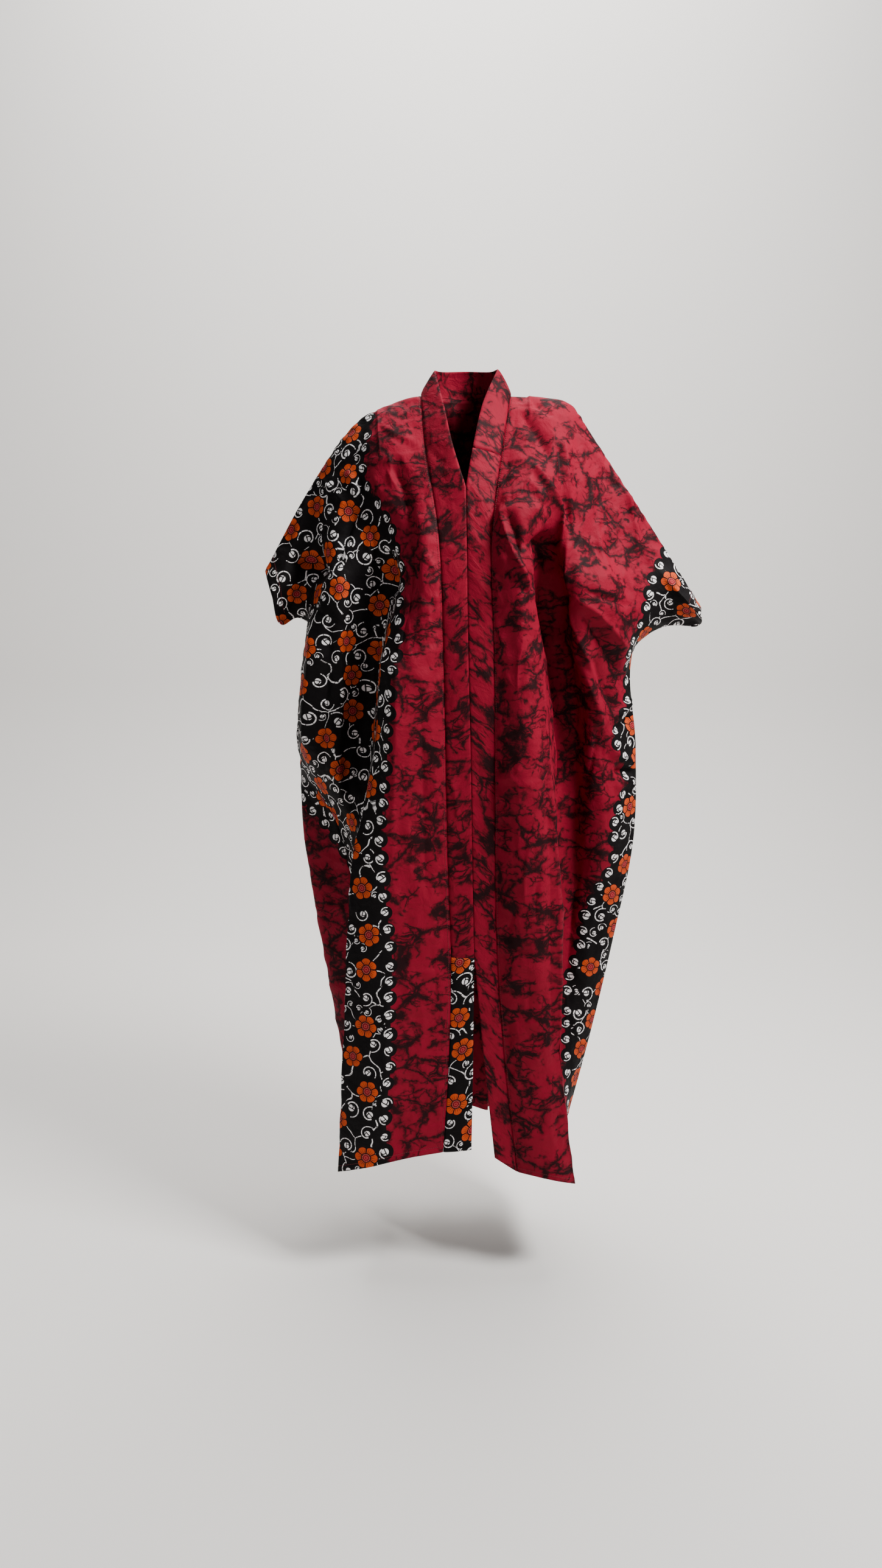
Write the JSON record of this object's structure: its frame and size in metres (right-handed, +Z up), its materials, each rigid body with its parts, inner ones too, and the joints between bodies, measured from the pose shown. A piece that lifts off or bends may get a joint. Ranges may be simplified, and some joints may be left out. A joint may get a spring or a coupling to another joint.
{
  "type": "grand boubou robe",
  "caption": "Long batwing robe of plain woven cotton, hanging hollow as worn, with a V neck band, wide short sleeves cut in one and a centre front slit.",
  "frame": {"origin": "the point between the shoulders, at the base of the neck, where the wearer holds the robe up", "axes": "+Z up along the robe's length, the front looks along -Y, +X is the wearer's left"},
  "size_m": [0.7254, 0.2856, 1.3269],
  "materials": {
    "cloth": "satin",
    "band": "satin",
    "border": "satin"
  },
  "bodies": {
    "root": {"front_right": "cloth", "front_left": "cloth", "back": "cloth", "neck_band": "band", "front_band_left": "band", "front_band_tail": "border"}
  },
  "joints": []
}
